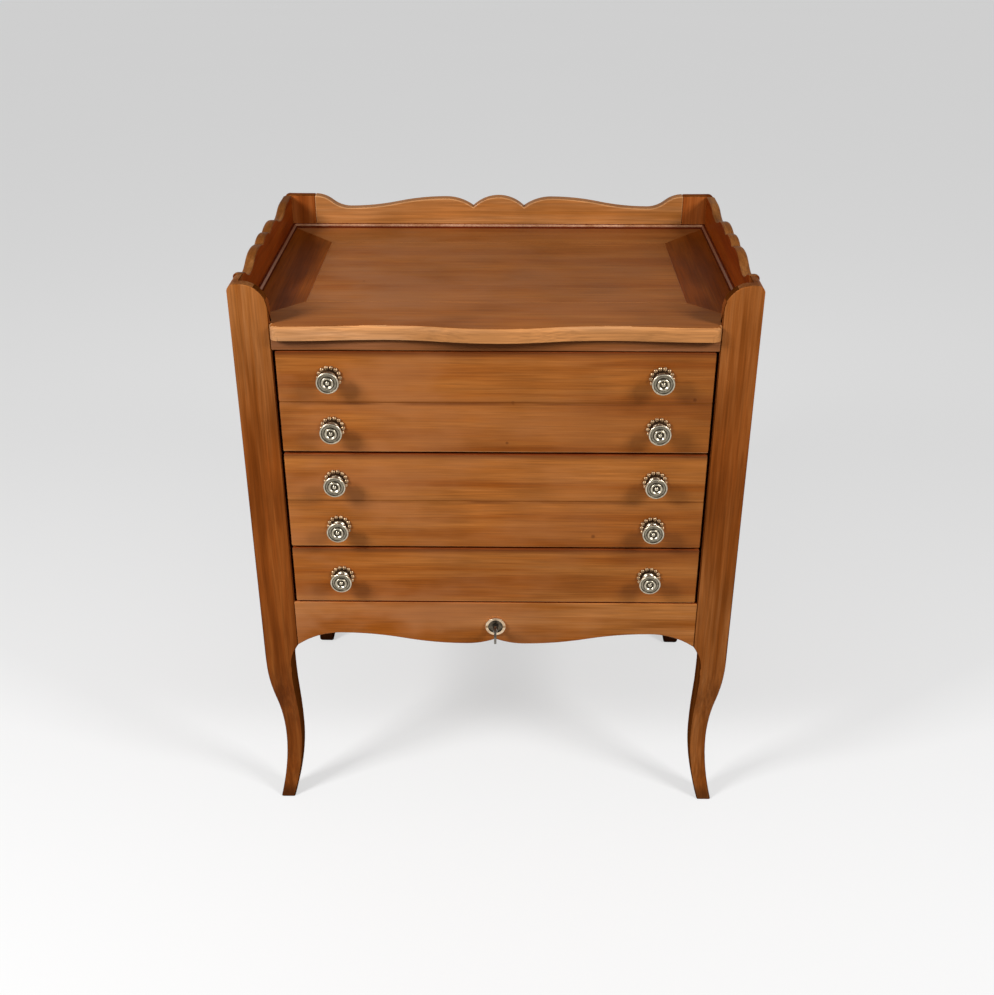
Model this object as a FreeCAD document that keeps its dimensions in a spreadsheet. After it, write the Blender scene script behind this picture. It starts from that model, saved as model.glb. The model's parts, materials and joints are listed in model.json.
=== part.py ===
"""A small French provincial chest of three drawers with five apparent fronts, on cabriole legs.

Millimetres, +Z up, the drawers face -Y. The origin is on the floor, in the middle of the box round
the whole piece. Inside each sub-part, Y is measured back from the front plane of the posts.
"""

import FreeCAD, Part
import math
import os
from types import SimpleNamespace

import Sketcher

SIZES = {
    # Case, with the heights of the posts taken above the top board
    "overall_width": 540.0,
    "post_width": 40.0,
    "post_depth": 34.0,
    "rear_post_depth": 24.0,
    "front_post_height": 42.0,
    "rear_post_height": 39.5,
    "crown_radius": 27.0,
    "crown_depth": 12.5,
    "crown_corner": 8.0,
    "board_thickness": 15.0,
    "top_rail_height": 13.5,
    "top_rail_depth": 44.0,
    "tall_drawer_pitch": 117.0,
    "low_drawer_pitch": 72.5,
    # Cabriole legs
    "leg_height": 231.5,
    "ankle_inset": 12.7,
    "ankle_width": 20.2,
    "leg_width": 30.0,
    "foot_inset": 1.6,
    "foot_width": 17.0,
    "rear_foot_inset": 3.75,
    "rear_foot_width": 20.5,
    # Aprons and rails, with the heights of their shaped edges taken above the legs
    "apron_height": 60.0,
    "apron_thickness": 18.0,
    "arch_height": 17.5,
    "lobe_height": 3.5,
    "notch_height": 10.0,
    "rear_rail_thickness": 18.0,
    "tenon_thickness": 8.0,
    "tenon_depth": 18.0,
    "tenon_inset": 5.0,
    "tenon_shoulder": 6.0,
    # Panels housed in the posts
    "side_thickness": 12.0,
    "side_inset": 4.0,
    "back_panel_thickness": 8.0,
    "back_panel_inset": 8.0,
    "housing_depth": 8.0,
    # Top board and its galleries, whose heights are taken above the board
    "end_overhang": 9.0,
    "quarter_overhang": 4.5,
    "centre_overhang": 14.0,
    "board_corner": 10.0,
    "board_round": 4.5,
    "border_width": 57.0,
    "back_border_width": 66.0,
    "border_mitre": 57.0,
    "tongue_depth": 6.0,
    "tongue_thickness": 5.0,
    "back_gallery_thickness": 14.0,
    "back_low": 24.0,
    "back_hump": 36.2,
    "back_notch": 25.2,
    "back_crest": 38.0,
    "side_gallery_thickness": 11.0,
    "side_front": 42.0,
    "side_low": 31.0,
    "side_hump": 42.0,
    "side_notch": 37.5,
    "side_crest": 42.5,
    "bead_size": 4.8,
    "bead_round": 4.0,
    "bead_rebate": 1.0,
    # Drawers
    "drawer_gap": 3.0,
    "drawer_length": 330.0,
    "front_thickness": 18.0,
    "score_width": 3.2,
    "score_depth": 1.2,
    "lap_depth": 10.0,
    "box_wall": 10.0,
    "box_play": 4.0,
    "box_top_drop": 16.0,
    "box_back_drop": 6.0,
    "bottom_thickness": 6.0,
    "bottom_rise": 11.0,
    "groove_depth": 5.0,
    # Runners
    "slide_play": 0.3,
    "guide_play": 0.5,
    "bearing_width": 14.0,
    "runner_height": 12.0,
    "guide_height": 14.0,
    "stop_height": 20.0,
    "stop_length": 10.7,
    # Knobs with beaded plates
    "knob_margin": 57.5,
    "plate_radius": 11.4,
    "plate_thickness": 2.2,
    "plate_bead_radius": 2.2,
    "collar_radius": 7.6,
    "neck_radius": 4.2,
    "neck_height": 6.0,
    "head_radius": 12.0,
    "head_height": 11.3,
    "rim_height": 3.0,
    "well_radius": 6.8,
    "well_depth": 1.0,
    "ring_radius": 5.6,
    "ring_height": 1.2,
    "dish_depth": 1.4,
    "screw_radius": 2.0,
    "screw_grip": 7.0,
    "screw_head_radius": 4.0,
    "screw_head_height": 2.2,
    "bore_play": 0.15,
    # Lock and key, whose height is taken above the legs
    "lock_width": 60.0,
    "lock_height": 45.0,
    "lock_depth": 11.0,
    "lock_wall": 2.0,
    "flange_width": 84.0,
    "flange_thickness": 2.0,
    "flange_margin": 6.0,
    "bolt_inset": 10.0,
    "bolt_width": 28.0,
    "bolt_height": 15.0,
    "bolt_thickness": 5.0,
    "bolt_drop": 0.5,
    "tail_width": 12.0,
    "tail_gap": 1.0,
    "bolt_play": 0.3,
    "strike_depth": 9.0,
    "lock_screw_radius": 1.5,
    "lock_screw_length": 10.0,
    "lock_screw_head_radius": 3.0,
    "lock_screw_head_height": 1.5,
    "key_height": 29.0,
    "key_reach": 30.0,
    "key_radius": 3.0,
    "key_tip_gap": 2.5,
    "key_play": 0.3,
    "bow_radius": 10.0,
    "bow_opening": 6.5,
    "bow_thickness": 2.6,
    "bit_length": 9.0,
    "bit_width": 5.0,
    "bit_thickness": 2.4,
    # Escutcheon
    "escutcheon_radius": 11.5,
    "escutcheon_opening": 8.5,
    "escutcheon_height": 2.6,
    "escutcheon_web": 0.8,
    "pin_radius": 0.8,
    "pin_length": 8.0,
    "pin_head_radius": 1.4,
    "pin_head_height": 0.6,
    # How far a cut runs past the wood
    "overrun": 5.0,
}

# Places up the legs, as shares of their height
ANKLE_SHARE = 0.38
INNER_ANKLE_SHARE = 0.415
CALF_SHARE = 0.864
KNEE_SHARE = 0.916

# Places along the shaped edges, as shares of half the opening or of the side gallery's length
ARCH_SHARE = 0.774
LOBE_SHARE = 0.145
QUARTER_SHARE = 0.48
BACK_LOW_SHARE = 0.81
BACK_HUMP_SHARE = 0.285
BACK_NOTCH_SHARE = 0.138
SIDE_LOW_SHARES = (0.115, 0.763)
SIDE_HUMP_SHARES = (0.28, 0.597)
SIDE_NOTCH_SHARES = (0.37, 0.508)
SIDE_CREST_SHARE = 0.439
SIDE_RISE_SHARE = 0.918

# Share of a bead strip's size that tells its rounded edge from its other edges
EDGE_SHARE = 0.75

# Rows of knobs, as shares of a drawer's height
TOP_ROWS_SHARES = (0.255, 0.746)
MIDDLE_ROWS_SHARES = (0.233, 0.715)
LOW_ROW_SHARES = (0.483,)

# Beads round a knob's plate, and the corners of one as shares of its radius
PLATE_BEAD_COUNT = 14
PLATE_BEAD_SHARES = ((-1, -1), (1, -1), (0.5, 1), (-0.5, 1))

# Sketch plane of each drawing direction, and whether its normal runs along the third axis or against it
PLANES = {"XZ": ("XZ_Plane", -1), "YZ": ("YZ_Plane", 1), "XY": ("XY_Plane", 1)}
SIDES = (("left", -1), ("right", 1))


class Size:
    """A length together with the sheet expression that drives it."""

    def __init__(self, value, text):
        self.value = value
        self.text = text

    def __add__(self, other):
        other = as_size(other)
        return Size(self.value + other.value, f"({self.text} + {other.text})")

    def __sub__(self, other):
        other = as_size(other)
        return Size(self.value - other.value, f"({self.text} - {other.text})")

    def __mul__(self, other):
        other = as_size(other)
        return Size(self.value * other.value, f"({self.text} * {other.text})")

    def __truediv__(self, other):
        other = as_size(other)
        return Size(self.value / other.value, f"({self.text} / {other.text})")

    def __neg__(self):
        return self * -1

    __rmul__ = __mul__


def as_size(amount):
    """Turns a plain number into a Size, and leaves a Size alone."""
    if isinstance(amount, Size):
        return amount
    return Size(amount, f"({amount})")


def bind(item, path, amount):
    """Drives one property of an object from the sheet."""
    item.setExpression(path, as_size(amount).text)


os.makedirs("parts", exist_ok=True)
doc = FreeCAD.newDocument("chest")
sheet = doc.addObject("Spreadsheet::Sheet", "sheet")
for row, (alias, amount) in enumerate(SIZES.items(), start=1):
    sheet.set(f"A{row}", alias)
    sheet.set(f"B{row}", str(amount))
    sheet.setAlias(f"B{row}", alias)
doc.recompute()
size = SimpleNamespace(**{alias: Size(sheet.get(alias), f"sheet.{alias}") for alias in SIZES})
nodes = []

# Places that several sub-parts share
rear_start = size.drawer_length + size.slide_play + size.stop_length
carcass_depth = rear_start + size.rear_post_depth
front_plane = (size.key_reach - carcass_depth) / 2
half_width = size.overall_width / 2
half_open = half_width - size.post_width
arch_top = size.leg_height + size.arch_height
key_level = size.leg_height + size.key_height
apron_top = size.leg_height + size.apron_height
drawers_top = apron_top + size.low_drawer_pitch + size.tall_drawer_pitch * 2
underside = drawers_top + size.top_rail_height
board_top = underside + size.board_thickness
rear_top = board_top + size.rear_post_height
rear_face = carcass_depth - size.back_gallery_thickness
gallery_inner = half_width - size.side_gallery_thickness
panel_outer = half_width - size.side_inset
panel_inner = panel_outer - size.side_thickness
back_panel_start = carcass_depth - size.back_panel_inset - size.back_panel_thickness
box_outer = half_open - size.box_play
box_inner = box_outer - size.box_wall
guide_face = box_outer + size.guide_play
bearing_inner = guide_face - size.bearing_width
lock_front = size.apron_thickness - size.lock_depth
lock_bottom = apron_top - size.lock_height
bolt_top = apron_top - size.bolt_drop


def new_body(label, across=0, up=0):
    """Starts a sub-part whose own origin lies on the front plane."""
    body = doc.addObject("PartDesign::Body", label)
    body.Label = label
    bind(body, "Placement.Base.x", across)
    bind(body, "Placement.Base.y", front_plane)
    bind(body, "Placement.Base.z", up)
    return body


def origin_part(body, role):
    """Finds a plane or axis of the body's own origin."""
    return next(item for item in body.Origin.OriginFeatures if item.Role == role)


def new_sketch(body, plane, start):
    """Adds an empty sketch that faces along an axis, start away from the origin."""
    role, facing = PLANES[plane]
    sketch = body.newObject("Sketcher::SketchObject", f"{body.Name}_sketch")
    sketch.AttachmentSupport = [(origin_part(body, role), "")]
    sketch.MapMode = "FlatFace"
    bind(sketch, "AttachmentOffset.Base.z", as_size(start) * facing)
    return sketch


def split_curves(corners):
    """Halves each S-curve of an outline, so that every edge is a line or one arc."""
    edges = []
    for corner, follower in zip(corners, corners[1:] + corners[:1]):
        across, up = as_size(corner[0]), as_size(corner[1])
        if len(corner) == 2:
            edges.append((across, up, None, None))
        elif corner[3] == "both":
            middle_across = (across + follower[0]) / 2
            middle_up = (up + follower[1]) / 2
            edges.append((across, up, corner[2], "start"))
            edges.append((middle_across, middle_up, corner[2], "end"))
        else:
            edges.append((across, up, corner[2], corner[3]))
    return edges


def arc_of(edge, follower):
    """Works out an arc that leaves or meets a corner along a sketch axis: its curve, radius and turn."""
    run_across = follower[0] - edge[0]
    run_up = follower[1] - edge[1]
    if edge[2] == "x":
        along, off, sense = run_across, run_up, 1
    else:
        along, off, sense = run_up, run_across, -1
    radius = (along * along + off * off) / (off * 2)
    left = sense * math.copysign(1, along.value) * math.copysign(1, off.value)
    if edge[3] == "start":
        left = -left
    if off.value < 0:
        radius = -radius
    chord = math.hypot(run_across.value, run_up.value)
    rise = radius.value - math.sqrt(radius.value ** 2 - chord ** 2 / 4)
    first = FreeCAD.Vector(edge[0].value, edge[1].value, 0)
    last = FreeCAD.Vector(follower[0].value, follower[1].value, 0)
    normal = FreeCAD.Vector(-run_up.value, run_across.value, 0) / chord
    middle = (first + last) / 2 + normal * rise * left
    return Part.Arc(first, middle, last), radius, left < 0


def place(constraints, drives, edge, end, kind, axis, amount):
    """Holds one end of an edge at a driven distance from the sketch's origin, or on its axis."""
    if amount.value == 0:
        constraints.append(Sketcher.Constraint("PointOnObject", edge, end, axis))
        return
    drives[len(constraints)] = amount
    constraints.append(Sketcher.Constraint(kind, -1, 1, edge, end, amount.value))


def outline(body, plane, start, corners):
    """Draws a closed outline. A corner is (x, y), with an axis and an end where the edge after it curves:
    the arc is parallel to that axis at its start or its end, or at both as an S-curve."""
    sketch = new_sketch(body, plane, start)
    edges = split_curves(corners)
    curves = []
    ends = []
    radii = {}
    for index, edge in enumerate(edges):
        follower = edges[(index + 1) % len(edges)]
        if edge[2] is None:
            first = FreeCAD.Vector(edge[0].value, edge[1].value, 0)
            last = FreeCAD.Vector(follower[0].value, follower[1].value, 0)
            curves.append(Part.LineSegment(first, last))
            ends.append((1, 2))
            continue
        curve, radii[index], forward = arc_of(edge, follower)
        curves.append(curve)
        ends.append((1, 2) if forward else (2, 1))
    sketch.addGeometry(curves, False)
    constraints = []
    drives = {}
    for index, edge in enumerate(edges):
        after = (index + 1) % len(edges)
        constraints.append(Sketcher.Constraint("Coincident", index, ends[index][1], after, ends[after][0]))
        place(constraints, drives, index, ends[index][0], "DistanceX", -2, edge[0])
        place(constraints, drives, index, ends[index][0], "DistanceY", -1, edge[1])
        if index in radii:
            drives[len(constraints)] = radii[index]
            constraints.append(Sketcher.Constraint("Radius", index, radii[index].value))
    sketch.addConstraint(constraints)
    for number, amount in drives.items():
        bind(sketch, f"Constraints[{number}]", amount)
    return sketch


def circles(body, plane, start, rounds):
    """Draws circles, each given as (x, y, radius)."""
    sketch = new_sketch(body, plane, start)
    constraints = []
    drives = {}
    for index, (across, up, radius) in enumerate(rounds):
        across, up = as_size(across), as_size(up)
        middle = FreeCAD.Vector(across.value, up.value, 0)
        sketch.addGeometry(Part.Circle(middle, FreeCAD.Vector(0, 0, 1), radius.value), False)
        place(constraints, drives, index, 3, "DistanceX", -2, across)
        place(constraints, drives, index, 3, "DistanceY", -1, up)
        drives[len(constraints)] = radius
        constraints.append(Sketcher.Constraint("Radius", index, radius.value))
    sketch.addConstraint(constraints)
    for number, amount in drives.items():
        bind(sketch, f"Constraints[{number}]", amount)
    return sketch


def pad(body, plane, sketch, length):
    """Raises a sketch along its third axis."""
    feature = body.newObject("PartDesign::Pad", f"{body.Name}_pad")
    feature.Profile = sketch
    feature.Reversed = PLANES[plane][1] < 0
    bind(feature, "Length", length)
    return feature


def pocket(body, plane, sketch, length):
    """Cuts a sketch along its third axis, and makes sure that it took wood away."""
    doc.recompute()
    before = body.Shape.Volume
    feature = body.newObject("PartDesign::Pocket", f"{body.Name}_pocket")
    feature.Profile = sketch
    feature.Reversed = PLANES[plane][1] > 0
    bind(feature, "Length", length)
    doc.recompute()
    if body.Shape.Volume >= before:
        raise RuntimeError(f"a cut in {body.Label} took nothing away")
    return feature


def board(label, plane, start, thickness, corners):
    """A piece sawn to one outline."""
    body = new_body(label)
    pad(body, plane, outline(body, plane, start, corners), thickness)
    nodes.append(body)
    return body


def add(body, plane, start, length, corners):
    """Adds a tenon, tongue or lug to a piece."""
    return pad(body, plane, outline(body, plane, start, corners), length)


def cut(body, plane, start, length, corners):
    """Cuts a mortise, housing, groove or shaped waste from a piece."""
    return pocket(body, plane, outline(body, plane, start, corners), length)


def bore(body, start, length, rounds):
    """Bores holes from front to back."""
    return pocket(body, "XZ", circles(body, "XZ", start, rounds), length)


def turn(body, corners):
    """Turns a profile about the body's own Y axis."""
    feature = body.newObject("PartDesign::Revolution", f"{body.Name}_turning")
    feature.Profile = outline(body, "YZ", 0, corners)
    feature.ReferenceAxis = (origin_part(body, "Y_Axis"), [""])
    feature.Angle = 360
    return feature


def round_edges(body, radius, chosen):
    """Rounds the edges of a piece whose middles the test picks."""
    doc.recompute()
    base = body.Tip
    names = [f"Edge{n}" for n, edge in enumerate(base.Shape.Edges, start=1) if chosen(edge.CenterOfMass)]
    feature = body.newObject("PartDesign::Fillet", f"{body.Name}_round")
    feature.Base = (base, names)
    bind(feature, "Radius", radius)
    return feature


def group(label, pattern, places):
    """A node of like pieces, one at each (x, z) place on the front plane."""
    copies = []
    for number, (across, up) in enumerate(places):
        copy = doc.addObject("App::Link", f"{label}_{number}")
        copy.LinkedObject = pattern
        bind(copy, "Placement.Base.x", across)
        bind(copy, "Placement.Base.y", front_plane)
        bind(copy, "Placement.Base.z", up)
        copies.append(copy)
    node = doc.addObject("Part::Compound", label)
    node.Label = label
    node.Links = copies
    nodes.append(node)


def box(low_across, high_across, low_up, high_up):
    """The four corners of a rectangle."""
    return [(low_across, low_up), (high_across, low_up), (high_across, high_up), (low_across, high_up)]


def span(side, inner, outer):
    """Where a piece starts that lies between two distances from the middle, on one side."""
    return -outer if side < 0 else inner


def leg_curves(at):
    """The outer and inner sawn lines of a cabriole leg, from the floor up, at offsets from its corner."""
    outer = [
        (at(size.foot_inset), 0, "y", "end"),
        (at(size.ankle_inset), size.leg_height * ANKLE_SHARE, "y", "both"),
        (at(0), size.leg_height * KNEE_SHARE),
    ]
    inner = [
        (at(size.foot_inset + size.foot_width), 0, "y", "end"),
        (at(size.ankle_inset + size.ankle_width), size.leg_height * INNER_ANKLE_SHARE, "y", "both"),
        (at(size.leg_width), size.leg_height * CALF_SHARE, "y", "start"),
    ]
    return outer, inner


def downward(points):
    """Runs a rising line of corners the other way, with each curve kept on its own edge."""
    other_end = {"start": "end", "end": "start", "both": "both"}
    corners = []
    for point, before in zip(points[::-1], points[-2::-1] + [()]):
        curve = (before[2], other_end[before[3]]) if len(before) == 4 else ()
        corners.append(point[:2] + curve)
    return corners


def front_post(name, side):
    """Post and cabriole leg in one piece, sawn to the same curves from two faces. Behind its crown it is
    cut away for the corner of the top."""
    def across(offset):
        return (half_width - offset) * side

    def back(offset):
        return as_size(offset)

    outer, inner = leg_curves(across)
    top = board_top + size.front_post_height
    inner_face = size.post_width
    profile = inner + [
        (across(inner_face), size.leg_height),
        (across(inner_face), top - size.crown_radius, "y", "start"),
        (across(inner_face - size.crown_radius), top),
        (across(size.crown_corner), top, "x", "start"),
        (across(0), top - size.crown_corner),
    ] + downward(outer)
    post = board(f"front_{name}_post", "XZ", 0, size.post_depth, profile)
    outer, inner = leg_curves(back)
    start = span(side, half_open, half_width) - size.overrun
    width = size.post_width + size.overrun * 2
    cut(post, "YZ", start, width, [
        (-size.overrun, -size.overrun),
        (size.foot_inset, -size.overrun),
    ] + outer + [(-size.overrun, size.leg_height * KNEE_SHARE)])
    cut(post, "YZ", start, width, [
        (size.post_depth + size.overrun, -size.overrun),
        (size.foot_inset + size.foot_width, -size.overrun),
    ] + inner + [
        (size.post_depth, size.leg_height),
        (size.post_depth + size.overrun, size.leg_height),
    ])
    mortise = (side * (half_open - size.overrun), side * (half_open + size.tenon_depth))
    cut(post, "XZ", size.tenon_inset, size.tenon_thickness, box(*mortise, *apron_tenon))
    cut(post, "XY", rail_tenon_start, size.tenon_thickness, box(*mortise, *rail_tenon))
    cut(post, "XY", size.leg_height, underside - size.leg_height, box(
        side * panel_inner, side * panel_outer,
        size.post_depth - size.housing_depth, size.post_depth + size.overrun))
    cut(post, "XY", underside, top - underside + size.overrun, box(
        side * (half_open - size.overrun), side * gallery_inner,
        size.crown_depth, size.post_depth + size.overrun))


def rear_post(name, side):
    """Straight rear post, with its leg, stepped back above the board to stand level with the gallery."""
    def across(offset):
        return (half_width - offset) * side

    post = board(f"rear_{name}_post", "XZ", rear_start, size.rear_post_depth, [
        (across(size.rear_foot_inset), 0),
        (across(size.rear_foot_inset + size.rear_foot_width), 0),
        (across(size.leg_width), size.leg_height * CALF_SHARE, "y", "start"),
        (across(size.post_width), size.leg_height),
        (across(size.post_width), rear_top),
        (across(size.crown_corner), rear_top, "x", "start"),
        (across(0), rear_top - size.crown_corner),
        (across(0), size.leg_height * KNEE_SHARE),
    ])
    cut(post, "XY", underside, rear_top - underside + size.overrun, box(
        across(-size.overrun), across(size.post_width + size.overrun), rear_start - size.overrun, rear_face))
    cut(post, "XY", size.leg_height, underside - size.leg_height, box(
        side * panel_inner, side * panel_outer, rear_start - size.overrun, rear_start + size.housing_depth))
    cut(post, "XY", size.leg_height, underside - size.leg_height, box(
        side * (half_open - size.overrun), side * (half_open + size.housing_depth),
        back_panel_start, back_panel_start + size.back_panel_thickness))


def side_frame(name, side):
    """Side panel, shaped side apron and side gallery, one above the other."""
    low, high = size.post_depth - size.housing_depth, rear_start + size.housing_depth
    bracket_run = half_open * (1 - ARCH_SHARE)
    board(f"{name}_apron", "YZ", span(side, panel_inner, panel_outer), size.side_thickness, [
        (low, apron_top),
        (low, size.leg_height),
        (size.post_depth, size.leg_height, "x", "end"),
        (size.post_depth + bracket_run, arch_top),
        (rear_start - bracket_run, arch_top, "x", "start"),
        (rear_start, size.leg_height),
        (high, size.leg_height),
        (high, apron_top),
    ])
    board(f"{name}_side_panel", "YZ", span(side, panel_inner, panel_outer), size.side_thickness,
          box(low, high, apron_top, underside))
    length = rear_face - size.post_depth

    def point(share, rise, *curve):
        return (size.post_depth + length * share, board_top + rise, *curve)

    board(f"{name}_gallery", "YZ", span(side, gallery_inner, half_width), size.side_gallery_thickness, [
        (size.post_depth, underside),
        point(0, size.side_front, "x", "both"),
        point(SIDE_LOW_SHARES[0], size.side_low, "x", "both"),
        point(SIDE_HUMP_SHARES[0], size.side_hump, "x", "start"),
        point(SIDE_NOTCH_SHARES[0], size.side_notch, "x", "end"),
        point(SIDE_CREST_SHARE, size.side_crest, "x", "start"),
        point(SIDE_NOTCH_SHARES[1], size.side_notch, "x", "end"),
        point(SIDE_HUMP_SHARES[1], size.side_hump, "x", "both"),
        point(SIDE_LOW_SHARES[1], size.side_low, "x", "both"),
        point(SIDE_RISE_SHARE, size.rear_post_height),
        point(1, size.rear_post_height),
        (rear_face, underside),
    ])


def both_ways(half):
    """Mirrors the right half of an outline, given from its end to the middle, to the left."""
    return half[:-1] + [(-point[0], *point[1:]) for point in downward(half)]


def back_frame():
    """Back panel, rear rail with its tongue, and the shaped back gallery."""
    reach = half_open + size.housing_depth
    board("back_panel", "XZ", back_panel_start, size.back_panel_thickness,
          box(-reach, reach, apron_top, underside))
    rail_start = back_panel_start - (size.rear_rail_thickness - size.back_panel_thickness) / 2
    rail = board("rear_rail", "XZ", rail_start, size.rear_rail_thickness,
                 box(-half_open, half_open, size.leg_height, apron_top))
    add(rail, "XZ", back_panel_start, size.back_panel_thickness,
        box(-reach, reach, size.leg_height, apron_top))

    def point(share, rise, *curve):
        return (half_open * share, board_top + rise, *curve)

    half = [
        (half_open, underside),
        (half_open, rear_top, "x", "both"),
        point(BACK_LOW_SHARE, size.back_low, "x", "both"),
        point(BACK_HUMP_SHARE, size.back_hump, "x", "start"),
        point(BACK_NOTCH_SHARE, size.back_notch, "x", "end"),
        (as_size(0), board_top + size.back_crest),
    ]
    board("back_gallery", "XZ", rear_face, size.back_gallery_thickness, both_ways(half))


def top_frame():
    """Top rail, the top's board in its mitred borders, and the three mitred beads let into the borders."""
    rail = board("top_rail", "XY", drawers_top, size.top_rail_height,
                 box(-half_open, half_open, 0, size.top_rail_depth))
    reach = half_open + size.tenon_depth
    add(rail, "XY", rail_tenon_start, size.tenon_thickness, box(-reach, reach, *rail_tenon))
    board_side = gallery_inner - size.border_width
    board_rear = rear_face - size.back_border_width
    board_front = size.crown_depth + size.border_mitre
    tongue_start = underside + (size.board_thickness - size.tongue_thickness) / 2
    tongue = box(-board_side - size.tongue_depth, board_side + size.tongue_depth,
                 board_front - size.tongue_depth, board_rear + size.tongue_depth)
    middle_board = board("top_board", "XY", underside, size.board_thickness,
                         box(-board_side, board_side, board_front, board_rear))
    add(middle_board, "XY", tongue_start, size.tongue_thickness, tongue)
    half = [
        (board_side, board_front),
        (gallery_inner, size.crown_depth),
        (half_open, size.crown_depth),
        (half_open, as_size(0), "x", "end"),
        (half_open - size.board_corner, -size.end_overhang, "x", "both"),
        (half_open * QUARTER_SHARE, -size.quarter_overhang, "x", "both"),
        (as_size(0), -size.centre_overhang),
    ]
    front_border = board("top_front_border", "XY", underside, size.board_thickness, both_ways(half))
    upper = underside.value + size.board_thickness.value / 2
    round_edges(front_border, size.board_round, lambda middle: middle.y < 0 and middle.z > upper)
    back_border = board("top_back_border", "XY", underside, size.board_thickness, [
        (-gallery_inner, rear_face), (gallery_inner, rear_face),
        (board_side, board_rear), (-board_side, board_rear)])
    side_borders = [
        board(f"top_{name}_border", "XY", underside, size.board_thickness, [
            (side * gallery_inner, rear_face), (side * board_side, board_rear),
            (side * board_side, board_front), (side * gallery_inner, size.crown_depth)])
        for name, side in SIDES]
    for border in [front_border, back_border, *side_borders]:
        cut(border, "XY", tongue_start, size.tongue_thickness, tongue)
    inner = gallery_inner - size.bead_size
    rear = rear_face - size.bead_size
    outside = gallery_inner + size.overrun
    behind = rear_face + size.overrun
    before = size.crown_depth - size.overrun
    seat = board_top - size.bead_rebate
    rise = size.bead_size + size.bead_rebate
    for border in [front_border, back_border, *side_borders]:
        cut(border, "XY", seat, size.bead_rebate + size.overrun, [
            (-outside, before), (-inner, before), (-inner, rear), (inner, rear),
            (inner, before), (outside, before), (outside, behind), (-outside, behind)])
    back_bead = board("back_bead", "XY", seat, rise, [
        (-gallery_inner, rear_face), (gallery_inner, rear_face), (inner, rear), (-inner, rear)])
    crest = board_top.value + size.bead_size.value * EDGE_SHARE
    edge = rear.value + size.bead_size.value * (1 - EDGE_SHARE)
    round_edges(back_bead, size.bead_round, lambda middle: middle.z > crest and middle.y < edge)
    for name, side in SIDES:
        bead = board(f"{name}_bead", "XY", seat, rise, [
            (side * gallery_inner, size.crown_depth), (side * inner, size.crown_depth),
            (side * inner, rear), (side * gallery_inner, rear_face)])
        limit = inner.value + size.bead_size.value * (1 - EDGE_SHARE)
        round_edges(bead, size.bead_round, lambda middle: middle.z > crest and abs(middle.x) < limit)


def front_apron():
    """Shaped apron with tenons, cut behind for the lock and bored for the key."""
    half = [
        (half_open, apron_top),
        (half_open, size.leg_height, "x", "end"),
        (half_open * ARCH_SHARE, arch_top, "x", "both"),
        (half_open * LOBE_SHARE, size.leg_height + size.lobe_height, "x", "start"),
        (as_size(0), size.leg_height + size.notch_height),
    ]
    apron = board("front_apron", "XZ", 0, size.apron_thickness, both_ways(half))
    reach = half_open + size.tenon_depth
    add(apron, "XZ", size.tenon_inset, size.tenon_thickness, box(-reach, reach, *apron_tenon))
    cut(apron, "XZ", lock_front, size.lock_depth + size.overrun, box(
        -size.lock_width / 2, size.lock_width / 2, lock_bottom, apron_top + size.overrun))
    keyhole(apron, -size.overrun, size.apron_thickness)
    bore(apron, -size.overrun, size.overrun + size.pin_length, [
        (across, key_level, size.pin_radius + size.bore_play) for across in pin_places])
    lock_screw_hole = size.lock_screw_radius + size.bore_play
    bore(apron, size.apron_thickness + size.flange_thickness - size.lock_screw_length - size.bore_play,
         size.lock_screw_length, [(*spot, lock_screw_hole) for spot in lock_screw_places])


def keyhole(body, start, length):
    """Cuts a round hole and the slot under it that lets the key's bit through."""
    bore(body, start, length, [(0, key_level, size.key_radius + size.key_play)])
    half = size.bit_thickness / 2 + size.key_play
    cut(body, "XZ", start, length, box(-half, half, key_level - size.bit_length - size.key_play, key_level))


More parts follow.
